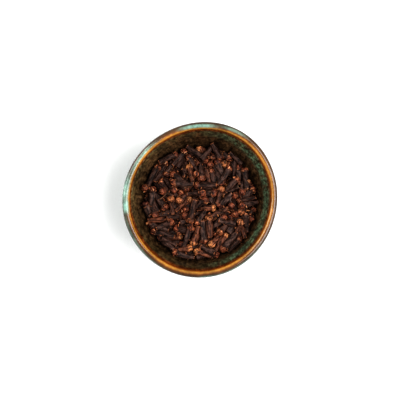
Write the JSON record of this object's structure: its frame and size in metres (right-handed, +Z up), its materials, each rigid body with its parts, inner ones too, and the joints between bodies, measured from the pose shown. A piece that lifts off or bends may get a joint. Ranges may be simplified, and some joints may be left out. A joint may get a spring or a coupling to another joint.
{
  "type": "bowl of whole cloves",
  "caption": "Small round stoneware bowl, thrown a little out of round, with a rounded lip and a foot ring, heaped with dried whole cloves.",
  "frame": {"origin": "under the middle of the foot ring, on the surface that the bowl stands on", "axes": "+Z up through the bowl's open top; +Y is away from a viewer who has +X to the right"},
  "size_m": [0.0897, 0.0902, 0.0424],
  "materials": {
    "glazed_stoneware": "glossy reactive glaze: teal green and dark olive, breaking to amber brown at the lip",
    "dried_clove": "dry, finely wrinkled, dark purple brown stems and red brown buds"
  },
  "bodies": {
    "root": {"bowl": "glazed_stoneware", "clove_heap": "dried_clove"}
  },
  "joints": []
}
